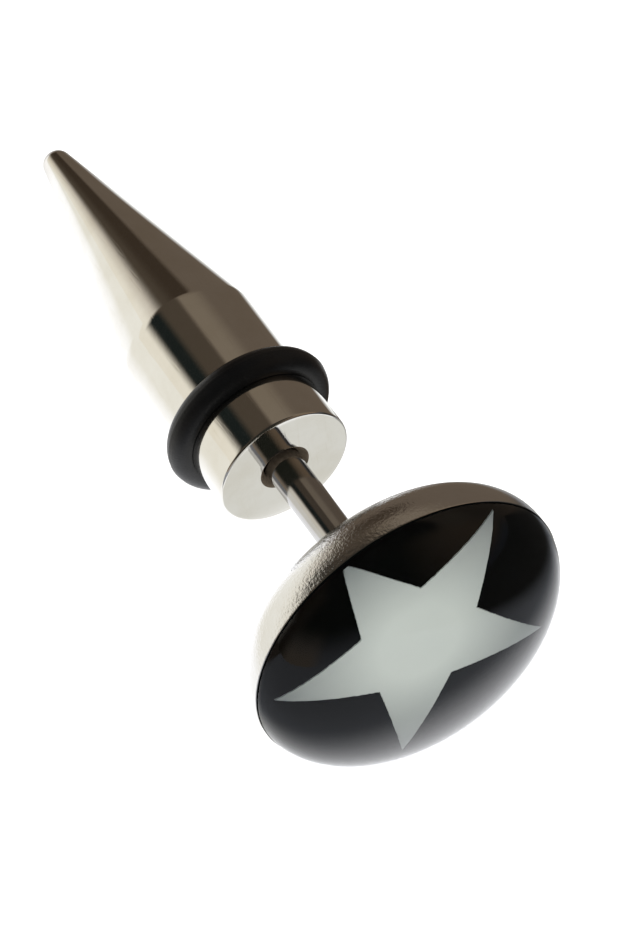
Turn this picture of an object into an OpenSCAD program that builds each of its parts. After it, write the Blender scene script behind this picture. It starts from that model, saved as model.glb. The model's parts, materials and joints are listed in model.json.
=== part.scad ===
// Ear stud made to look like a stretching taper, lying on a table.
// A polished steel disc carries a domed resin face with a plain five-pointed star.
// A thin threaded post is soldered to its back, and a cone-shaped taper screws onto the post's end.
// The stud's own axis runs from the disc to the taper's tip. Stations are measured along it from the
// disc's front rim. The frame's origin is at the bottom of the bounding box, at its centre:
// +Y runs from the disc to the tip, +X to the right seen from the disc, +Z up.

/* [Disc] */
// Outer diameter of the disc
disc_d = 10.4; // [9.4:0.1:11.4]
// Thickness of the disc, from its front rim to its flat back
disc_t = 1.92; // [1.8:0.02:2.4]
// Radius of the round side, from the edge to the flat back
side_r = 1.73; // [1.2:0.01:1.75]
// Depth of the recess that holds the picture and the resin
recess_depth = 0.64; // [0.5:0.02:0.8]
// Thickness of the wall around the recess
wall_t = 0.12; // [0.1:0.01:0.2]

/* [Picture and dome] */
// Thickness of the black lining
lining_t = 0.1; // [0.06:0.01:0.12]
// Thickness of the lining's brim, which covers the top of the wall
brim_t = 0.04; // [0.03:0.01:0.06]
// Thickness of the white star
star_t = 0.03; // [0.03:0.01:0.06]
// Radius of the circle through the star's points
star_r = 3.87; // [3.2:0.01:4.2]
// Radius of the star's inner corners as a part of the radius of its points
star_waist = 0.433; // [0.36:0.001:0.5]
// Turn of the star from upright, anticlockwise as seen from the front
star_turn = 20.75; // [-36:0.25:36]
// Distance of the star's middle to the right of the disc's middle
star_right = 0.03; // [-0.1:0.01:0.1]
// Distance of the star's middle above the disc's middle
star_up = 0.17; // [-0.2:0.01:0.2]
// Height of the resin dome above the rim
dome_h = 2.56; // [1.6:0.02:2.8]
// Station behind the rim at which the dome's curve would be widest
dome_middle = 0.15; // [0:0.01:0.3]

/* [Post] */
// Diameter of the post and of the thread's crests
post_d = 1.2; // [1:0.02:1.22]
// Bare length of the post, from the disc's back to the taper
bare_length = 5.34; // [4:0.02:8]
// Width and height of the solder around the post's foot
solder = 0.15; // [0.1:0.01:0.3]
// Length of thread that shows in front of the taper
thread_lead = 0.1; // [0.08:0.02:0.3]
// Length of the post inside the taper
thread_length = 3.4; // [2.4:0.1:3.9]
// Distance from one thread crest to the next
thread_pitch = 0.25; // [0.2:0.05:0.3]
// Depth of the thread
thread_depth = 0.12; // [0.08:0.01:0.14]

/* [Taper] */
// Diameter of the taper's straight part
barrel_d = 4.46; // [4.2:0.02:5.2]
// Length of the straight part
barrel_length = 5.94; // [4.8:0.01:6.4]
// Distance from the shoulder to the centre of the rounded tip
cone_length = 8.56; // [8:0.01:13]
// Radius of the rounded tip
tip_r = 0.49; // [0.4:0.01:0.6]
// Radius of the rounding around the flat face
face_round = 0.15; // [0.1:0.01:0.2]
// Diameter of the threaded hole at its crests
hole_d = 1.24; // [1.24:0.01:1.28]
// Diameter of the countersink at the flat face
countersink_d = 1.66; // [1.5:0.02:1.9]
// Depth of the hole
hole_depth = 4; // [4:0.05:4.4]

/* [Rubber ring] */
// Diameter of the rubber ring's round section
ring_section = 0.96; // [0.8:0.02:1.1]
// How deep the ring's section is sunk below the barrel's surface
ring_sunk = 0.38; // [0.3:0.01:0.4]
// Distance from the flat face to the middle of the ring
ring_station = 2.24; // [1.5:0.02:3]

/* [Resting] */
// How far the round pieces are rolled about the stud's axis, so that a flat of their meshes lies down
roll = 2.5; // [0:0.5:5]

/* [Hidden] */
$fn = 96;
gap = 0.02;
overlap = 1;

disc_r = disc_d / 2;
post_r = post_d / 2;
barrel_r = barrel_d / 2;
// Middle of the round side's section: its radius from the axis and its station
side_mid_r = disc_r - side_r;
side_mid = disc_t - side_r;
recess_r = disc_r - wall_t;

// Stations of the layers in the recess, each one gap in front of the last
lining_back = recess_depth - gap;
lining_front = lining_back - lining_t;
lining_r = recess_r - gap;
lining_inner_r = lining_r - lining_t;
star_back = lining_front - gap;
star_front = star_back - star_t;
resin_back = star_front - gap;
resin_r = lining_inner_r - gap;
brim_front = -gap - brim_t;
dome_base = brim_front - gap;
// Half length of the flattened ball that the dome is cut from, and its angle where the dome begins
dome_length = dome_h + dome_middle;
dome_start = asin((dome_middle - dome_base) / dome_length);

// Stations along the post and the taper
face = disc_t + bare_length;
post_end = face + thread_length;
thread_start = face - thread_lead;
crests = floor((post_end - thread_start) / thread_pitch);
ring_middle = face + ring_station;
ring_middle_r = barrel_r + ring_section / 2 - ring_sunk;
shoulder = face + barrel_length;
tip_middle = shoulder + cone_length;
// Slope of the cone that leaves the shoulder and just touches the round tip
cone_angle = atan2(barrel_r, cone_length) - asin(tip_r / norm([barrel_r, cone_length]));

// The stud lies on the disc's round side and the taper's round tip: a line under both is level
slope = atan2(side_mid_r, tip_middle - side_mid)
      + asin((side_r - tip_r) / norm([side_mid_r, tip_middle - side_mid]));
axis_height = tip_middle * sin(slope) + tip_r;
// Furthest reach of the dome in front of the rim's middle, and of the tip behind it
dome_reach = norm([dome_length * cos(slope), disc_r * sin(slope)]) - dome_middle * cos(slope);
tip_reach = tip_middle * cos(slope) + tip_r;

// Lays a shape that was built along +Z on its side: +Z becomes the stud's axis, sloping down to the tip
module laid_down() {
    translate([0, (dome_reach - tip_reach) / 2, axis_height])
        rotate([-90 - slope, 0, 0])
            rotate([0, 0, roll])
                children();
}

// Points of an arc around [x, y], from the first angle to the last
function arc(x, y, radius, first, last, steps) =
    [for (i = [0:steps]) let (a = first + (last - first) * i / steps)
        [x + radius * cos(a), y + radius * sin(a)]];

// Steel disc with its recess and its round side, and the threaded post soldered to its back
module disc() {
    color([0.62, 0.6, 0.57]) laid_down() {
        difference() {
            union() {
                rotate_extrude() translate([side_mid_r, side_mid]) circle(r = side_r);
                cylinder(r = side_mid_r, h = disc_t);
                cylinder(r = disc_r, h = side_mid);
            }
            translate([0, 0, -side_r]) cylinder(r = disc_r + overlap, h = side_r);
            translate([0, 0, -overlap]) cylinder(r = recess_r, h = recess_depth + overlap);
        }
        translate([0, 0, recess_depth + gap])
            cylinder(r = post_r, h = thread_start - recess_depth - gap);
        translate([0, 0, disc_t - overlap])
            cylinder(r = post_r + solder, h = overlap);
        translate([0, 0, disc_t])
            cylinder(r1 = post_r + solder, r2 = post_r, h = solder);
        thread();
    }
}

// V-shaped ridges around the end of the post
module thread() {
    root_r = post_r - thread_depth;
    flank = thread_pitch / 2;
    rotate_extrude() polygon(concat(
        [[0, thread_start - overlap], [root_r, thread_start - overlap], [root_r, thread_start]],
        [for (i = [0:crests - 1]) each [
            [post_r, thread_start + i * thread_pitch + flank],
            [root_r, thread_start + (i + 1) * thread_pitch]]],
        [[root_r, post_end], [0, post_end]]));
}

// Black lining of the recess, with a thin brim over the wall's top
module lining() {
    color([0.03, 0.03, 0.04]) laid_down() rotate_extrude() polygon([
        [0, lining_front], [lining_inner_r, lining_front], [lining_inner_r, brim_front],
        [disc_r, brim_front], [disc_r, -gap], [lining_r, -gap],
        [lining_r, lining_back], [0, lining_back]]);
}

// Flat white star on the lining
module star() {
    color([0.75, 0.77, 0.74]) laid_down()
        rotate([0, 0, -roll]) translate([star_right, -star_up, star_front])
            linear_extrude(star_t) polygon([for (i = [0:9])
                let (r = i % 2 == 0 ? star_r : star_r * star_waist, a = -90 - star_turn + 36 * i)
                [r * cos(a), r * sin(a)]]);
}

// Clear resin that fills the recess and stands over it as nearly half of a flattened ball
module dome() {
    steps = 24;
    color([0.8, 0.85, 0.9, 0.4]) laid_down() rotate_extrude() polygon(concat(
        [[0, resin_back], [resin_r, resin_back], [resin_r, dome_base]],
        [for (i = [0:steps]) let (a = dome_start + (90 - dome_start) * i / steps)
            [disc_r * cos(a), dome_middle - dome_length * sin(a)]]));
}

// Steel taper: flat face, straight barrel with a groove for the ring, sharp shoulder and a long cone
module taper() {
    point_depth = hole_d / 2 * tan(31);
    countersink_depth = (countersink_d - hole_d) / 2;
    color([0.62, 0.6, 0.57]) laid_down() difference() {
        rotate_extrude() polygon(concat(
            [[0, face]],
            arc(barrel_r - face_round, face + face_round, face_round, -90, 0, 8),
            [[barrel_r, shoulder]],
            arc(0, tip_middle, tip_r, cone_angle, 90, 12)));
        translate([0, 0, face - overlap]) cylinder(d = hole_d, h = hole_depth + overlap);
        translate([0, 0, face + hole_depth]) cylinder(d1 = hole_d, d2 = 0, h = point_depth);
        translate([0, 0, face]) cylinder(d1 = countersink_d, d2 = hole_d, h = countersink_depth);
        rotate_extrude() translate([ring_middle_r, ring_middle]) circle(d = ring_section + 2 * gap);
    }
}

// Rubber ring, sunk in the barrel's groove by two fifths of its thickness
module rubber_ring() {
    color([0.05, 0.05, 0.05]) laid_down()
        rotate_extrude() translate([ring_middle_r, ring_middle]) circle(d = ring_section);
}

disc();
lining();
star();
dome();
taper();
rubber_ring();
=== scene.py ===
"""Ear stud made to look like a stretching taper, lying on a white table.

The sections follow the stud as it is put together: disc and post, black lining, star, resin dome,
taper, rubber ring. Table, light and camera come last. Lengths are in millimetres until a point is
placed in the scene, in metres. A station is a distance along the stud's own axis, from the disc's
front rim towards the taper's tip. Scales of textures and depths of relief are per metre and in metres.
"""
import json
import math

import bpy
import numpy as np
from mathutils import Matrix


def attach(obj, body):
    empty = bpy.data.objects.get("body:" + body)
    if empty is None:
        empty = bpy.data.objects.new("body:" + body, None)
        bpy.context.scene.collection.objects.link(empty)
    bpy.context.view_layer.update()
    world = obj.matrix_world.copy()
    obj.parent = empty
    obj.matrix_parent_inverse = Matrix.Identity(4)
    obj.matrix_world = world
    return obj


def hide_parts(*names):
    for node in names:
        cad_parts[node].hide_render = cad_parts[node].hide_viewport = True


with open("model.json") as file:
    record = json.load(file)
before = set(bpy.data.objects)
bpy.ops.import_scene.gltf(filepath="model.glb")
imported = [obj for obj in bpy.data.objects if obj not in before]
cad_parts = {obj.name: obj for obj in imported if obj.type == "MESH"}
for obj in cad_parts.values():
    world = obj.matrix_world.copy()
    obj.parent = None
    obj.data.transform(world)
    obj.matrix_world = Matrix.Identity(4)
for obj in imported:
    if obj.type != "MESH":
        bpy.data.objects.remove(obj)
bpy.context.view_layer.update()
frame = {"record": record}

# Disc and post
# A disc of stainless steel, polished to a mirror, with a recess in its face and a round side. The post,
# a 1.2 mm wire with a thread rolled on its end, is soldered to the middle of the disc's back.
MM = 0.001
DISC_R = 5.2
DISC_T = 1.92
SIDE_R = 1.73
RECESS_R = 5.08
RECESS_DEPTH = 0.64
LIP_ROUND = 0.03
POST_R = 0.6
POST_END = 10.66
SOLDER = 0.15
THREAD_START = 7.4
THREAD_PITCH = 0.25
THREAD_DEPTH = 0.12
THREAD_RUNOUT = 0.12
POST_CHAMFER = 0.1
POST_CHAMFER_DEPTH = 0.04
POST_MOUNT_STATION = 4.615
STEEL_WORN_TINT = (0.92, 0.9, 0.86, 1)
STEEL_WORN_BLUR = 0.06
MISSED_STATION = 0.9
MISSED_RADIUS = 5.0
MISSED_ANGLE = math.radians(-25)
PITS_FULL_WITHIN = 2.0
PITS_FADED_PAST = 4.5
PITS_FADED_TO = 0.45
MARGIN = 0.01

# The post's mount gives the stud's axis; up is square to it, as far from the table as can be
post_mount = frame["record"]["mounts"][0]
AXIS = np.array(post_mount["axis"])
UP = np.array([0.0, -AXIS[2], AXIS[1]])
RIGHT = np.array([1.0, 0.0, 0.0])
RIM_MIDDLE = np.array(post_mount["pos_m"]) - POST_MOUNT_STATION * MM * AXIS


def on_stud(station, radius, angle):
    """Point of the stud; the angle runs around the axis, from up towards the right.

    The disc's rim middle, plus station times the axis, plus radius times the direction that has the
    angle's cosine of up and its sine of right.
    """
    station, radius, angle = np.broadcast_arrays(station, radius, angle)
    across = np.cos(angle)[..., None] * UP + np.sin(angle)[..., None] * RIGHT
    return RIM_MIDDLE + MM * (station[..., None] * AXIS + radius[..., None] * across)


def straight(start, end, steps):
    """Evenly spaced points from start to end, both kept."""
    return np.linspace(start, end, steps + 1)


def rounding(middle, radius, first, last, steps):
    """Arc of points (station, radius): middle plus radius times (cos, sin) of the angle in degrees."""
    angle = np.radians(np.linspace(first, last, steps + 1))
    return np.column_stack([middle[0] + radius * np.cos(angle), middle[1] + radius * np.sin(angle)])


def mesh_object(name, points, faces, smooth_below=30):
    """Mesh object with its faces turned outwards, smooth except across edges sharper than an angle.

    The faces are turned over if the tetrahedra from the origin to their first three corners add up to
    a negative volume.
    """
    corners = points[np.array([face[:3] for face in faces])]
    volume = np.einsum("ij,ij->", corners[:, 0], np.cross(corners[:, 1], corners[:, 2]))
    if volume < 0:
        faces = [face[::-1] for face in faces]
    mesh = bpy.data.meshes.new(name)
    mesh.from_pydata(points.tolist(), [], faces)
    mesh.shade_smooth()
    mesh.set_sharp_from_angle(angle=math.radians(smooth_below))
    piece = bpy.data.objects.new(name, mesh)
    bpy.context.collection.objects.link(piece)
    return piece


def turned(name, profile, radius_at=None, segments=224, smooth_below=30):
    """Closed surface of revolution: each profile point (station, radius) is carried once around the axis.

    Both ends of the profile lie on the axis and become one point each. radius_at, if given, changes the
    radius as a function of station, radius and angle.
    """
    profile = profile[np.r_[True, np.linalg.norm(np.diff(profile, axis=0), axis=1) > 1e-6]]
    angle = np.linspace(0, 2 * np.pi, segments, endpoint=False)
    station = profile[1:-1, :1]
    radius = profile[1:-1, 1:] + 0 * angle
    if radius_at:
        radius = radius_at(station + 0 * angle, radius, angle)
    rings = on_stud(station, radius, angle).reshape(-1, 3)
    ends = on_stud(profile[[0, -1], 0], np.zeros(2), np.zeros(2))
    ring, spoke = np.meshgrid(np.arange(len(station) - 1), np.arange(segments), indexing="ij")
    beside = (spoke + 1) % segments
    quads = np.stack([ring * segments + spoke, (ring + 1) * segments + spoke,
                      (ring + 1) * segments + beside, ring * segments + beside], axis=-1)
    spoke = np.arange(segments)
    beside = (spoke + 1) % segments
    last = (len(station) - 1) * segments
    first_cap = np.column_stack([np.full(segments, len(rings)), spoke, beside])
    last_cap = np.column_stack([np.full(segments, len(rings) + 1), last + beside, last + spoke])
    faces = quads.reshape(-1, 4).tolist() + first_cap.tolist() + last_cap.tolist()
    return mesh_object(name, np.vstack([rings, ends]), faces, smooth_below)


def thread_ridge(station, angle):
    """Triangle wave of station over pitch less the turn around the axis: 1 on a crest, 0 in a valley."""
    phase = (station / THREAD_PITCH - angle / (2 * np.pi)) % 1.0
    return 1 - np.abs(2 * phase - 1)


def thread_reach(station, start, end, runout):
    """1 between two stations and 0 outside them, with straight ramps as long as the runout within."""
    return np.clip((station - start) / runout, 0, 1) * np.clip((end - station) / runout, 0, 1)


def post_thread(station, radius, angle):
    """Thread cut into the post: the radius less the depth times one minus the ridge."""
    depth = THREAD_DEPTH * thread_reach(station, THREAD_START, POST_END, THREAD_RUNOUT)
    return radius - depth * (1 - thread_ridge(station, angle))


side_middle = np.array([DISC_T - SIDE_R, DISC_R - SIDE_R])
disc_profile = np.vstack([
    straight((RECESS_DEPTH, 0), (RECESS_DEPTH, RECESS_R - LIP_ROUND), 4),
    rounding((RECESS_DEPTH - LIP_ROUND, RECESS_R - LIP_ROUND), LIP_ROUND, 0, 90, 4),
    straight((RECESS_DEPTH - LIP_ROUND, RECESS_R), (LIP_ROUND, RECESS_R), 4),
    rounding((LIP_ROUND, RECESS_R + LIP_ROUND), LIP_ROUND, -90, -180, 4),
    rounding((LIP_ROUND, DISC_R - LIP_ROUND), LIP_ROUND, 180, 90, 4),
    straight((LIP_ROUND, DISC_R), (side_middle[0], DISC_R), 4),
    rounding(side_middle, SIDE_R, 90, 0, 48),
    straight((DISC_T, side_middle[1]), (DISC_T, POST_R + SOLDER), 10),
    rounding((DISC_T + SOLDER, POST_R + SOLDER), SOLDER, 180, 270, 8),
    straight((DISC_T + SOLDER, POST_R), (THREAD_START, POST_R), 24),
    straight((THREAD_START, POST_R), (POST_END - POST_CHAMFER, POST_R), 124),
    [(POST_END, POST_R - THREAD_DEPTH - POST_CHAMFER_DEPTH), (POST_END, 0)],
])
disc = turned("disc_and_post", disc_profile, post_thread)
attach(disc, "stud")
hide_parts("disc")


def feed(node, inputs):
    """Gives each named input of a node its value, or a link from a socket of the same tree."""
    for name, value in inputs.items():
        if isinstance(value, bpy.types.NodeSocket):
            node.id_data.links.new(value, node.inputs[name])
        else:
            node.inputs[name].default_value = value


def node_maker(tree):
    """Returns a function that adds a node to the tree, sets its options and feeds its inputs."""
    def add(kind, inputs=None, **options):
        node = tree.nodes.new(kind)
        for name, value in options.items():
            setattr(node, name, value)
        feed(node, inputs or {})
        return node
    return add


def new_material(name):
    """Material, its node maker, its Principled shader and the piece's own coordinates in metres."""
    material = bpy.data.materials.new(name)
    material.use_nodes = True
    add = node_maker(material.node_tree)
    shader = material.node_tree.nodes["Principled BSDF"]
    return material, add, shader, add("ShaderNodeTexCoord").outputs["Object"]


def lay_over(add, below, above, mask):
    """Colour above laid over colour below by a mask. Inputs 6 and 7 are the node's two colours."""
    return add("ShaderNodeMix", {0: mask, 6: below, 7: above}, data_type="RGBA").outputs[2]


def finish_group(name, inputs, outputs):
    """Empty shader node group with float or vector inputs and float outputs."""
    group = bpy.data.node_groups.new(name, "ShaderNodeTree")
    for label, kind, value in inputs:
        socket = group.interface.new_socket(label, in_out="INPUT", socket_type=kind)
        if kind == "NodeSocketFloat":
            socket.default_value = value
    for label in outputs:
        group.interface.new_socket(label, in_out="OUTPUT", socket_type="NodeSocketFloat")
    return group


# Fine marks of handling and polishing, which every hard or smooth finish of the stud has some of
marks = finish_group("handling_marks",
                     [("Place", "NodeSocketVector", None), ("Grain", "NodeSocketFloat", 8000.0),
                      ("Pitting", "NodeSocketFloat", 0.3), ("Scratches", "NodeSocketFloat", 0.3)],
                     ["Height", "Dullness"])
add = node_maker(marks)
given = add("NodeGroupInput").outputs
grain = add("ShaderNodeTexNoise", {"Vector": given["Place"], "Scale": given["Grain"], "Detail": 3.0,
                                   "Roughness": 0.6}).outputs["Fac"]
stretched = add("ShaderNodeMapping", {"Vector": given["Place"], "Rotation": (0.4, 0.9, 0.3),
                                      "Scale": (9000.0, 700.0, 900.0)}).outputs["Vector"]
streaks = add("ShaderNodeTexNoise", {"Vector": stretched, "Scale": 1.0, "Detail": 2.0}).outputs["Fac"]
scratches = add("ShaderNodeMapRange", {"Value": streaks, "From Min": 0.62,
                                       "From Max": 0.75}).outputs["Result"]
cloud = add("ShaderNodeTexNoise", {"Vector": given["Place"], "Scale": 420.0, "Detail": 4.0,
                                   "Roughness": 0.65}).outputs["Fac"]
smudges = add("ShaderNodeMapRange", {"Value": cloud, "From Min": 0.4,
                                     "From Max": 0.75}).outputs["Result"]
pits = add("ShaderNodeMath", {0: grain, 1: given["Pitting"]}, operation="MULTIPLY").outputs[0]
cuts = add("ShaderNodeMath", {0: scratches, 1: given["Scratches"]}, operation="MULTIPLY").outputs[0]
height = add("ShaderNodeMath", {0: pits, 1: cuts}, operation="SUBTRACT").outputs[0]
dullness = add("ShaderNodeMath", {0: smudges, 1: cuts}, operation="ADD", use_clamp=True).outputs[0]
add("NodeGroupOutput", {"Height": height, "Dullness": dullness})


def polished_steel(name, grain, pitting, scratches, relief,
                   clean=(0.72, 0.71, 0.68, 1), blur=0.03, pitted_at=None):
    """Polished stainless steel: slightly warm metal, duller and rougher where it has been handled.

    Given a place, the marks are deepest near it and fade to less than half that depth away from it.
    """
    material, add, shader, place = new_material(name)
    worn = add("ShaderNodeGroup", {"Place": place, "Grain": grain, "Pitting": pitting,
                                   "Scratches": scratches}, node_tree=marks).outputs
    roughness = add("ShaderNodeMapRange", {"Value": worn["Dullness"], "To Min": blur,
                                           "To Max": blur + STEEL_WORN_BLUR})
    dull = np.multiply(clean, STEEL_WORN_TINT)
    tint = lay_over(add, clean, dull, worn["Dullness"])
    height = worn["Height"]
    if pitted_at is not None:
        away = add("ShaderNodeVectorMath", {0: place, 1: pitted_at}, operation="DISTANCE").outputs["Value"]
        depth = add("ShaderNodeMapRange", {"Value": away, "From Min": MM * PITS_FULL_WITHIN,
                                           "From Max": MM * PITS_FADED_PAST, "To Min": 1.0,
                                           "To Max": PITS_FADED_TO}).outputs["Result"]
        height = add("ShaderNodeMath", {0: height, 1: depth}, operation="MULTIPLY").outputs[0]
    bump = add("ShaderNodeBump", {"Height": height, "Strength": 1.0, "Distance": relief})
    feed(shader, {"Metallic": 1.0, "Base Color": tint, "Roughness": roughness.outputs["Result"],
                  "Normal": bump.outputs["Normal"]})
    return material


def second_material(piece, material, widest, first, last):
    """Gives a material to the faces whose middle is nearer the axis than widest, between two stations."""
    middles = np.empty(3 * len(piece.data.polygons))
    piece.data.polygons.foreach_get("center", middles)
    away = (middles.reshape(-1, 3) - RIM_MIDDLE) / MM
    station = away @ AXIS
    radius = np.linalg.norm(away - station[:, None] * AXIS, axis=1)
    chosen = (radius < widest) & (first < station) & (station < last)
    piece.data.materials.append(material)
    piece.data.polygons.foreach_set("material_index", chosen.astype(np.int32))


# The buffing wheel missed some of the casting's fine pits at the upper left of the side
missed_patch = on_stud(MISSED_STATION, MISSED_RADIUS, MISSED_ANGLE)
steel_of_disc = polished_steel("steel_of_disc", grain=10500.0, pitting=1.0, scratches=0.1, relief=1.7e-5,
                               clean=(0.7, 0.695, 0.685, 1), pitted_at=missed_patch)
steel_of_post = polished_steel("steel_of_post", grain=5000.0, pitting=0.3, scratches=0.1, relief=2e-6,
                               clean=(0.48, 0.475, 0.47, 1), blur=0.08)
disc.data.materials.append(steel_of_disc)
second_material(disc, steel_of_post, POST_R + MARGIN, DISC_T + SOLDER, POST_END + MARGIN)

# Black lining
# The recess is printed or enamelled black: floor, wall and a thin brim over the lip. The resin wets it,
# so it looks deep and glossy.
LINING_BACK = 0.62
LINING_FRONT = 0.52
LINING_R = 5.06
LINING_INNER_R = 4.96
BRIM_FRONT = -0.06
BRIM_BACK = -0.02
lining_profile = np.array([
    (LINING_FRONT, 0), (LINING_FRONT, LINING_INNER_R), (BRIM_FRONT, LINING_INNER_R), (BRIM_FRONT, DISC_R),
    (BRIM_BACK, DISC_R), (BRIM_BACK, LINING_R), (LINING_BACK, LINING_R), (LINING_BACK, 0)])
lining = turned("black_lining", lining_profile)
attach(lining, "stud")
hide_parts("lining")


def dull_layer(name, dark, light, patches):
    """Dull layer whose tone drifts from place to place, in patches so many to the metre: print, or painted
    reflection.
    """
    material, add, shader, place = new_material(name)
    cloud = add("ShaderNodeTexNoise", {"Vector": place, "Scale": patches, "Detail": 3.0}).outputs["Fac"]
    colour = lay_over(add, dark, light, cloud)
    feed(shader, {"Base Color": colour, "Roughness": 0.6, "Specular IOR Level": 0.0})
    return material


black_print = dull_layer("black_print", dark=(0.0012, 0.0014, 0.0015, 1),
                         light=(0.0024, 0.0027, 0.0028, 1), patches=600.0)
lining.data.materials.append(black_print)

# Star
# A plain white five-pointed star, printed on the lining as a very thin layer. Its edge is slightly
# ragged up to the points, and painted shade darkens it evenly towards them.
STAR_FRONT = 0.47
STAR_BACK = 0.5
STAR_R = 3.87
STAR_WAIST = 0.433
STAR_TURN = math.radians(20.75)
STAR_RIGHT = 0.03
STAR_UP = 0.17
STAR_RAGGED = 0.018
STAR_CLEAN_FROM = 0.97
STAR_EDGE_STEPS = 1000
# Painted shade: from this radius out, the star darkens to the last colour at its points
STAR_SHADE_FROM = 1.1
INK_THICKER = (0.775, 0.83, 0.77, 1)
INK_THINNER = (0.73, 0.79, 0.735, 1)
STAR_POINTS_PAINTED_SHADE = (0.29, 0.32, 0.315, 1)


def star_outline(angle):
    """Radius of the star's edge, which runs straight from each point to the next inner corner.

    The angle is folded into the tenth of a turn from a point to a corner. There the line's radius is
    the point's times the corner's rise, over rise times cosine plus the corner's shortfall times sine.
    """
    fold = np.abs((angle + math.pi / 5) % (2 * math.pi / 5) - math.pi / 5)
    waist = STAR_R * STAR_WAIST
    across = STAR_R - waist * math.cos(math.pi / 5)
    rise = waist * math.sin(math.pi / 5)
    return STAR_R * rise / (rise * np.cos(fold) + across * np.sin(fold))


star_angle = np.linspace(0, 2 * math.pi, STAR_EDGE_STEPS, endpoint=False)
star_edge = star_outline(star_angle)
ragged = np.random.default_rng(5).uniform(-STAR_RAGGED, STAR_RAGGED, STAR_EDGE_STEPS)
star_edge = star_edge + ragged * (star_edge < STAR_CLEAN_FROM * STAR_R)
star_ring = on_stud(np.array([[STAR_FRONT], [STAR_BACK]]), star_edge, star_angle - STAR_TURN)
star_ring = star_ring.reshape(-1, 3)
star_middle = on_stud(np.array([STAR_FRONT, STAR_BACK]), np.zeros(2), np.zeros(2))
front = np.arange(STAR_EDGE_STEPS)
next_front = (front + 1) % STAR_EDGE_STEPS
back = front + STAR_EDGE_STEPS
next_back = next_front + STAR_EDGE_STEPS
star_faces = np.vstack([
    np.column_stack([np.full(STAR_EDGE_STEPS, 2 * STAR_EDGE_STEPS), next_front, front]),
    np.column_stack([np.full(STAR_EDGE_STEPS, 2 * STAR_EDGE_STEPS + 1), back, next_back])]).tolist()
star_faces += np.column_stack([front, next_front, next_back, back]).tolist()
star_shift = MM * (STAR_RIGHT * RIGHT + STAR_UP * UP)
star_points = np.vstack([star_ring, star_middle]) + star_shift
star_front_middle = star_points[-2]
star = mesh_object("white_star", star_points, star_faces)
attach(star, "stud")
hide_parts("star")


def white_print():
    """White ink on black, with painted shade that darkens it evenly from the middle to the star's points."""
    material, add, shader, place = new_material("white_print")
    # Painted shade: the ink darkens evenly from the star's middle to its points
    away = add("ShaderNodeVectorMath", {0: place, 1: star_front_middle},
               operation="DISTANCE").outputs["Value"]
    painted_shade_to_points = add("ShaderNodeMapRange", {"Value": away, "From Min": MM * STAR_SHADE_FROM,
                                          "From Max": MM * STAR_R}).outputs["Result"]
    cloud = add("ShaderNodeTexNoise", {"Vector": place, "Scale": 900.0, "Detail": 3.0}).outputs["Fac"]
    ink = lay_over(add, INK_THINNER, INK_THICKER, cloud)
    feed(shader, {"Base Color": lay_over(add, ink, STAR_POINTS_PAINTED_SHADE, painted_shade_to_points), "Roughness": 0.5,
                  "Specular IOR Level": 0.0})
    return material


star.data.materials.append(white_print())

# Resin dome
# Clear epoxy poured over the print: it fills the recess and stands up from the brim as nearly half of a
# flattened ball. It wets the print, so it reaches a hair into the lining and holds the star.
RESIN_BACK = 0.53
RESIN_R = 4.97
DOME_BASE = -0.05
DOME_HEIGHT = 2.56
DOME_MIDDLE = 0.15
DOME_POINTS = 73

# The dome's profile is nearly a quarter of an ellipse, whose half-axes are this and the disc's radius
dome_length = DOME_HEIGHT + DOME_MIDDLE
dome_start = math.asin((DOME_MIDDLE - DOME_BASE) / dome_length)
dome_angle = np.linspace(dome_start, math.pi / 2, DOME_POINTS)
dome_profile = np.vstack([
    straight((RESIN_BACK, 0), (RESIN_BACK, RESIN_R), 4),
    straight((RESIN_BACK, RESIN_R), (DOME_BASE, RESIN_R), 3),
    straight((DOME_BASE, RESIN_R), (DOME_BASE, DISC_R * math.cos(dome_start)), 2),
    np.column_stack([DOME_MIDDLE - dome_length * np.sin(dome_angle), DISC_R * np.cos(dome_angle)]),
])
dome_profile[-1, 1] = 0
dome = turned("resin_dome", dome_profile)
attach(dome, "stud")
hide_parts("dome")


def clear_resin():
    """Clear epoxy: full transmission, with a trace of smudges in its gloss."""
    material, add, shader, place = new_material("clear_resin")
    worn = add("ShaderNodeGroup", {"Place": place, "Grain": 300.0, "Pitting": 0.5, "Scratches": 0.0},
               node_tree=marks).outputs
    roughness = add("ShaderNodeMapRange", {"Value": worn["Dullness"], "To Min": 0.0, "To Max": 0.02})
    bump = add("ShaderNodeBump", {"Height": worn["Height"], "Strength": 1.0, "Distance": 5e-7})
    feed(shader, {"Base Color": (1, 1, 1, 1), "Transmission Weight": 1.0, "IOR": 1.5,
                  "Roughness": roughness.outputs["Result"], "Normal": bump.outputs["Normal"]})
    return material


dome.data.materials.append(clear_resin())

# Taper
# Turned from stainless steel and polished: a flat face with a countersunk threaded hole, a straight
# barrel with a groove for the ring, a sharp shoulder and a long cone down to a small round tip. The
# hole's wall and countersink are painted a dull patchy brown, a painted reflection of the brown room.
FACE = 7.26
BARREL_R = 2.23
FACE_ROUND = 0.08
SHOULDER = 13.2
TIP_MIDDLE = 21.76
TIP_R = 0.49
HOLE_R = 0.62
HOLE_END = 11.26
DRILL_POINT = 0.37
HOLE_THREAD_DEPTH = 0.06
HOLE_THREAD_RUNOUT = 0.1
COUNTERSINK_R = 0.83
RING_STATION = 9.5
RING_MIDDLE_R = 2.33
GROOVE_R = 0.5
EDGE_ROUND = 0.02
cone_reach = math.hypot(BARREL_R, TIP_MIDDLE - SHOULDER)
cone_angle = math.degrees(math.atan2(BARREL_R, TIP_MIDDLE - SHOULDER) - math.asin(TIP_R / cone_reach))
countersink_end = FACE + COUNTERSINK_R - HOLE_R
groove_lip = math.degrees(math.asin((RING_MIDDLE_R - BARREL_R) / GROOVE_R))
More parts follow.
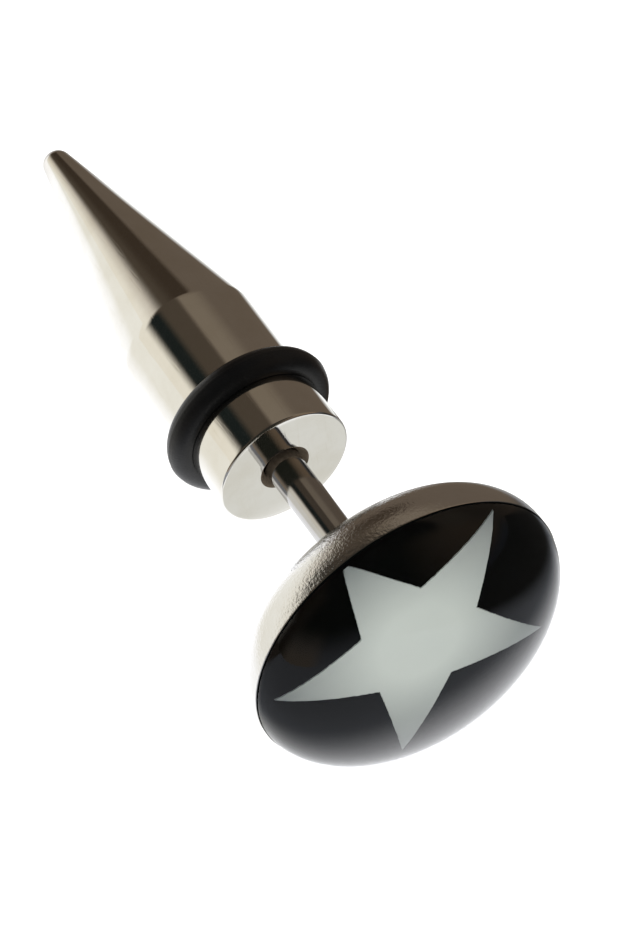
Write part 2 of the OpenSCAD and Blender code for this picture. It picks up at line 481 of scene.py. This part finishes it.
groove = rounding((RING_STATION, RING_MIDDLE_R), GROOVE_R, groove_lip - 180, -groove_lip, 20)
tip_cap = rounding((TIP_MIDDLE, 0), TIP_R, 90 - cone_angle, 0, 16)
taper_profile = np.vstack([
    [(HOLE_END + DRILL_POINT, 0)],
    straight((HOLE_END, HOLE_R), (countersink_end, HOLE_R), 120),
    straight((countersink_end, HOLE_R), (FACE + EDGE_ROUND, COUNTERSINK_R - EDGE_ROUND), 3),
    [(FACE, COUNTERSINK_R + EDGE_ROUND)],
    straight((FACE, COUNTERSINK_R + EDGE_ROUND), (FACE, BARREL_R - FACE_ROUND), 8),
    rounding((FACE + FACE_ROUND, BARREL_R - FACE_ROUND), FACE_ROUND, 180, 90, 10),
    straight((FACE + FACE_ROUND, BARREL_R), groove[0], 20),
    groove,
    straight(groove[-1], (SHOULDER, BARREL_R), 24),
    straight((SHOULDER, BARREL_R), tip_cap[0], 80),
    tip_cap,
])
taper_profile[-1, 1] = 0


def hole_thread(station, radius, angle):
    """The post's thread cut outwards into the hole's wall: the radius plus the depth times the ridge."""
    depth = HOLE_THREAD_DEPTH * thread_reach(station, countersink_end, HOLE_END, HOLE_THREAD_RUNOUT)
    return radius + np.where(radius < COUNTERSINK_R, depth * thread_ridge(station, angle), 0)


taper = turned("steel_taper", taper_profile, hole_thread)
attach(taper, "taper")
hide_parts("taper")
steel_of_taper = polished_steel("steel_of_taper", grain=5000.0, pitting=0.25, scratches=0.25, relief=3e-6)
# Painted reflection: the hole's wall and countersink are painted dull patchy brown for the brown they mirror
hole_painted_reflection = dull_layer("hole_painted_reflection", dark=(0.05, 0.037, 0.027, 1), light=(0.42, 0.345, 0.26, 1),
                        patches=2600.0)
taper.data.materials.append(steel_of_taper)
second_material(taper, hole_painted_reflection, COUNTERSINK_R, FACE - MARGIN, HOLE_END + DRILL_POINT)

# Rubber ring
# A plain moulded rubber ring, stretched over the barrel and partly sunk in its groove, with the faint
# parting line that the mould leaves around its outside.
RING_SECTION_R = 0.48
PARTING_HEIGHT = 0.012
PARTING_WIDTH = 0.06
AROUND_STEPS = 256
SECTION_STEPS = 72
RUBBER_BLACK = (0.002, 0.002, 0.0023, 1)
RUBBER_WORN = (0.0045, 0.0045, 0.0046, 1)
ring_around = np.linspace(0, 2 * math.pi, AROUND_STEPS, endpoint=False)
ring_section = np.linspace(0, 2 * math.pi, SECTION_STEPS, endpoint=False)

# A torus whose section swells by a bell curve of its angle where the mould parts
section_r = RING_SECTION_R + PARTING_HEIGHT * np.exp(-((ring_section - math.pi / 2) / PARTING_WIDTH) ** 2)
section_station = RING_STATION + section_r * np.cos(ring_section)
section_radius = RING_MIDDLE_R + section_r * np.sin(ring_section)
ring_points = on_stud(section_station[:, None], section_radius[:, None], ring_around).reshape(-1, 3)
turn, spoke = np.meshgrid(np.arange(SECTION_STEPS), np.arange(AROUND_STEPS), indexing="ij")
next_turn = (turn + 1) % SECTION_STEPS
beside = (spoke + 1) % AROUND_STEPS
ring_faces = np.stack([turn * AROUND_STEPS + spoke, next_turn * AROUND_STEPS + spoke,
                       next_turn * AROUND_STEPS + beside, turn * AROUND_STEPS + beside], axis=-1)
rubber_ring = mesh_object("rubber_ring_black", ring_points, ring_faces.reshape(-1, 4).tolist(),
                          smooth_below=60)
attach(rubber_ring, "taper")
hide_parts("rubber_ring")


def black_rubber():
    """Smooth black rubber with a soft sheen and a fine moulded grain."""
    material, add, shader, place = new_material("black_rubber")
    worn = add("ShaderNodeGroup", {"Place": place, "Grain": 16000.0, "Pitting": 1.0, "Scratches": 0.0},
               node_tree=marks).outputs
    colour = lay_over(add, RUBBER_BLACK, RUBBER_WORN, worn["Dullness"])
    roughness = add("ShaderNodeMapRange", {"Value": worn["Dullness"], "To Min": 0.32, "To Max": 0.5})
    bump = add("ShaderNodeBump", {"Height": worn["Height"], "Strength": 1.0, "Distance": 8e-6})
    feed(shader, {"Base Color": colour, "Roughness": roughness.outputs["Result"],
                  "Normal": bump.outputs["Normal"], "Specular IOR Level": 0.28})
    return material


rubber_ring.data.materials.append(black_rubber())

# Table
# A plain white table. What steel, resin and rubber mirror of it is a painted reflection, laid out as in
# the photograph: white at the left, in front of the disc and under the taper, brown at the right, grey and
# dark far out in front, and a painted shadow of the taper's face before it.
TABLE_HALF = 0.6
table_mesh = bpy.data.meshes.new("table")
table_mesh.from_pydata([(-TABLE_HALF, -TABLE_HALF, 0), (TABLE_HALF, -TABLE_HALF, 0),
                        (TABLE_HALF, TABLE_HALF, 0), (-TABLE_HALF, TABLE_HALF, 0)], [], [(0, 1, 2, 3)])
table = bpy.data.objects.new("table", table_mesh)
bpy.context.collection.objects.link(table)
BRIGHT_WHITE = (1.42, 1.43, 1.47, 1)
WARM_WHITE = (1.1, 1.08, 1.0, 1)
COOL_WHITE = (1.2, 1.22, 1.22, 1)
DULL_WHITE = (0.88, 0.88, 0.84, 1)
MIDDLE_GREY = (0.4, 0.4, 0.39, 1)
FAR_GREY = (0.36, 0.375, 0.41, 1)
FAR_DARK = (0.045, 0.044, 0.04, 1)
BROWN_SHADE = (0.148, 0.115, 0.087, 1)


def soft_step(add, value, low, high):
    """Mask that rises smoothly from 0 at low to 1 at high, or falls where high is below low."""
    step = add("ShaderNodeMapRange", {"Value": value, "From Min": min(low, high), "From Max": max(low, high),
                                      "To Min": float(high < low), "To Max": float(high > low)},
               interpolation_type="SMOOTHSTEP")
    return step.outputs["Result"]


def where_all(add, *masks):
    """Product of masks: 1 where all of them are 1, and 0 where any of them is 0."""
    product = masks[0]
    for mask in masks[1:]:
        product = add("ShaderNodeMath", {0: product, 1: mask}, operation="MULTIPLY").outputs[0]
    return product


def band(add, value, rise, full, fall, end):
    """Mask that rises smoothly from 0 at rise to 1 at full, and falls from 1 at fall to 0 at end."""
    return where_all(add, soft_step(add, value, rise, full), soft_step(add, value, end, fall))


def around(add, place, middle, inner, outer):
    """Round soft patch: 1 within the inner distance from its middle, 0 beyond the outer."""
    away = add("ShaderNodeVectorMath", {0: place, 1: middle}, operation="DISTANCE").outputs["Value"]
    return soft_step(add, away, outer, inner)


def lean(add, value, share, other):
    """One value plus a share of another: masks of it have slanting edges."""
    return add("ShaderNodeMath", {0: other, 1: share, 2: value}, operation="MULTIPLY_ADD").outputs[0]


def mirrored(add):
    """Mask that is 1 for a ray that a gloss or a mirror sent here, but not for one through resin."""
    path = add("ShaderNodeLightPath").outputs
    reflected = add("ShaderNodeMath", {0: path["Is Glossy Ray"], 1: path["Is Transmission Ray"]},
                    operation="SUBTRACT", use_clamp=True)
    return reflected.outputs[0]


table_look = bpy.data.materials.new("white_table")
table_look.use_nodes = True
table_look.node_tree.nodes.clear()
add = node_maker(table_look.node_tree)

# The masks' edges are in millimetres from the middle under the stud: x to the right, y to the tip
place = add("ShaderNodeVectorMath", {0: add("ShaderNodeTexCoord").outputs["Object"], "Scale": 1 / MM},
            operation="SCALE").outputs["Vector"]
flat = add("ShaderNodeSeparateXYZ", {0: place}).outputs
x, y = flat["X"], flat["Y"]
off_middle = add("ShaderNodeMath", {0: x}, operation="ABSOLUTE").outputs[0]

# Grey and dark far out in front, and brown from the disc onwards
shade = lay_over(add, FAR_GREY, FAR_DARK, soft_step(add, x, 9, 14))
shade = lay_over(add, shade, BROWN_SHADE, soft_step(add, y, -6, -1))

# White all along the left
left_white = lay_over(add, WARM_WHITE, BRIGHT_WHITE, soft_step(add, x, -9, -2))
left_of_disc = where_all(add, soft_step(add, x, -20, -6), soft_step(add, y, 1, -2))
left_white = lay_over(add, left_white, BRIGHT_WHITE, left_of_disc)
leftwards = where_all(add, soft_step(add, lean(add, y, 0.3, x), -11.8, -9),
                      soft_step(add, lean(add, x, 0.19, y), 4.5, 0.5))
shade = lay_over(add, shade, left_white, leftwards)

# Patches of painted reflection near the stud
under_taper = where_all(add, band(add, y, -3.5, -0.5, 10.2, 13), soft_step(add, x, 0.5, 2),
                        soft_step(add, lean(add, x, 0.35, y), 8, 4.8))
shade = lay_over(add, shade, COOL_WHITE, under_taper)
beside_disc = where_all(add, band(add, y, -14, -9, -5.2, -3.3), soft_step(add, off_middle, 10, 5.5))
shade = lay_over(add, shade, DULL_WHITE, beside_disc)
left_of_dome = where_all(add, band(add, x, -10, -7.5, -4.4, -3.2), band(add, y, -8.6, -7.2, -2, 0))
shade = lay_over(add, shade, BRIGHT_WHITE, left_of_dome)
right_of_dome = where_all(add, band(add, x, 4.8, 6.8, 8.5, 10.5), band(add, y, -9.2, -8, -3, -1.5))
shade = lay_over(add, shade, MIDDLE_GREY, right_of_dome)
# Painted shadow of the taper's face: a brown band in the painted reflection
before_taper = where_all(add, band(add, y, -2.7, -1.6, -0.4, 0.6), soft_step(add, x, 0.5, 2.8))
shade = lay_over(add, shade, BROWN_SHADE, before_taper)
deeper = add("ShaderNodeVectorMath", {0: place, 1: (1.0, 1.25, 1.0)}, operation="MULTIPLY").outputs["Vector"]
before_disc = where_all(add, around(add, deeper, (1, -11.25, 0), 4.5, 11.5), soft_step(add, y, -8, -9.6))
shade = lay_over(add, shade, BRIGHT_WHITE, before_disc)

# The camera sees plain paper brightened to white, and mirrors see the painted reflection worked out above
seen_in_steel = add("ShaderNodeEmission", {"Color": shade, "Strength": 1.0}).outputs[0]
paper = add("ShaderNodeBsdfDiffuse", {"Color": (0.93, 0.93, 0.92, 1)}).outputs[0]
glow = add("ShaderNodeEmission", {"Color": (1, 1, 1, 1), "Strength": 0.55}).outputs[0]
lit_paper = add("ShaderNodeAddShader", {0: paper, 1: glow}).outputs[0]
from_camera = add("ShaderNodeLightPath").outputs["Is Camera Ray"]
seen = add("ShaderNodeMixShader", {0: from_camera, 1: paper, 2: lit_paper}).outputs[0]
surface = add("ShaderNodeMixShader", {0: mirrored(add), 1: seen, 2: seen_in_steel}).outputs[0]
add("ShaderNodeOutputMaterial", {"Surface": surface})
table_mesh.materials.append(table_look)

# Light
# Plain soft studio light from all around. Gloss alone sees a painted reflection of a room: brown with a
# dark ceiling, and white low at the left behind the taper. In front of the disc it is grey low down, brown
# at both sides, dark above.
SOFT_LIGHT = 1.12
UPPER_RIGHT_BROWN = (0.222, 0.18, 0.135, 1)
LEFT_BROWN = (0.08, 0.062, 0.045, 1)
LOW_AHEAD_BROWN = (0.048, 0.034, 0.023, 1)
NEARLY_BLACK = (0.012, 0.016, 0.015, 1)
CEILING = (0.03, 0.026, 0.022, 1)
FRONT_DARK = (0.022, 0.024, 0.018, 1)
FRONT_GREY = (0.34, 0.355, 0.39, 1)
FRONT_LEFT_TAN = (0.42, 0.34, 0.26, 1)
FRONT_RIGHT_GREY = (0.085, 0.09, 0.105, 1)
FRONT_RIGHT_BROWN = (0.24, 0.175, 0.12, 1)
WALL_EDGE = (0.75, 0.69, 0.6, 1)
WALL_MIDDLE = (1.05, 1.0, 0.88, 1)
room = bpy.data.worlds.new("studio")
bpy.context.scene.world = room
room.use_nodes = True
room.node_tree.nodes.clear()
add = node_maker(room.node_tree)

# The masks' edges are parts of a unit direction: x to the right, y to the tip, z up
heading = add("ShaderNodeTexCoord").outputs["Generated"]
towards = add("ShaderNodeSeparateXYZ", {0: heading}).outputs
x, y, z = towards["X"], towards["Y"], towards["Z"]

# Brown room behind the taper
upper_right = where_all(add, soft_step(add, z, 0.3, 0.6), soft_step(add, x, 0.05, 0.22))
walls = lay_over(add, BROWN_SHADE, UPPER_RIGHT_BROWN, upper_right)
walls = lay_over(add, walls, LEFT_BROWN, soft_step(add, x, 0.2, 0.06))
low_ahead = where_all(add, soft_step(add, z, 0.45, 0.36), band(add, x, -0.12, 0.16, 0.34, 0.46))
walls = lay_over(add, walls, LOW_AHEAD_BROWN, low_ahead)
walls = lay_over(add, walls, NEARLY_BLACK, around(add, heading, (-0.52, 0.69, 0.49), 0.08, 0.3))
walls = lay_over(add, walls, CEILING, soft_step(add, z, 0.7, 0.8))

# In front of the disc
front_low = where_all(add, soft_step(add, z, 0.42, -0.08), soft_step(add, x, 0.15, -0.1))
front = lay_over(add, FRONT_DARK, FRONT_GREY, front_low)
front_left = where_all(add, soft_step(add, z, 0.5, 0.0), soft_step(add, x, -0.6, -0.78))
front = lay_over(add, front, FRONT_LEFT_TAN, front_left)
front_right_low = where_all(add, soft_step(add, z, 0.25, 0.03), soft_step(add, x, 0.15, 0.75))
front = lay_over(add, front, FRONT_RIGHT_GREY, front_right_low)
front_right = where_all(add, soft_step(add, z, 0.03, 0.25), soft_step(add, x, 0.1, 0.85))
front = lay_over(add, front, FRONT_RIGHT_BROWN, front_right)
walls = lay_over(add, walls, front, soft_step(add, y, 0.1, -0.3))

# White wall
leaning = lean(add, x, 0.5, z)
left_wall = where_all(add, soft_step(add, leaning, 0.05, -0.28), soft_step(add, z, 0.43, 0.2),
                      soft_step(add, y, 0.15, 0.5))
wall_white = lay_over(add, WALL_EDGE, WALL_MIDDLE, soft_step(add, leaning, -0.2, -0.5))
walls = lay_over(add, walls, wall_white, left_wall)

# Painted reflection for gloss, and plain soft light for every other ray
seen_in_gloss = add("ShaderNodeBackground", {"Color": walls, "Strength": 1.0}).outputs[0]
soft_light = add("ShaderNodeBackground", {"Color": (1, 1, 1, 1), "Strength": SOFT_LIGHT}).outputs[0]
surroundings = add("ShaderNodeMixShader", {0: mirrored(add), 1: soft_light, 2: seen_in_gloss}).outputs[0]
add("ShaderNodeOutputWorld", {"Surface": surroundings})
bpy.context.scene.view_settings.view_transform = "Standard"

# Camera
# A long lens looks down at the stud from in front of its face. The disc's rim middle falls on a known
# pixel at a known distance.
IMAGE_WIDTH = 621
IMAGE_HEIGHT = 931
FOCAL_PIXELS = 5000
RIM_MIDDLE_PIXEL = (407.43, 630.49)
RIM_DISTANCE = 148.84
SENSOR_WIDTH = 36
CLIP_START = 1
CAMERA_ELEVATION = math.radians(65.25)
CAMERA_AZIMUTH = math.radians(31.15)
forward = np.array([math.cos(CAMERA_ELEVATION) * math.sin(CAMERA_AZIMUTH),
                    math.cos(CAMERA_ELEVATION) * math.cos(CAMERA_AZIMUTH), -math.sin(CAMERA_ELEVATION)])
rightward = np.array([math.cos(CAMERA_AZIMUTH), -math.sin(CAMERA_AZIMUTH), 0])
downward = np.cross(forward, rightward)
shift_right = (RIM_MIDDLE_PIXEL[0] - IMAGE_WIDTH / 2) / FOCAL_PIXELS
shift_down = (RIM_MIDDLE_PIXEL[1] - IMAGE_HEIGHT / 2) / FOCAL_PIXELS
towards_rim = forward + shift_right * rightward + shift_down * downward
camera_place = RIM_MIDDLE - RIM_DISTANCE * MM * towards_rim
camera_data = bpy.data.cameras.new("camera")
camera_data.sensor_width = SENSOR_WIDTH
camera_data.lens = FOCAL_PIXELS / IMAGE_HEIGHT * SENSOR_WIDTH
camera_data.clip_start = CLIP_START * MM
camera = bpy.data.objects.new("camera", camera_data)
bpy.context.collection.objects.link(camera)
pose = np.eye(4)
pose[:3] = np.column_stack([rightward, -downward, -forward, camera_place])
camera.matrix_world = Matrix(pose.tolist())
bpy.context.scene.camera = camera
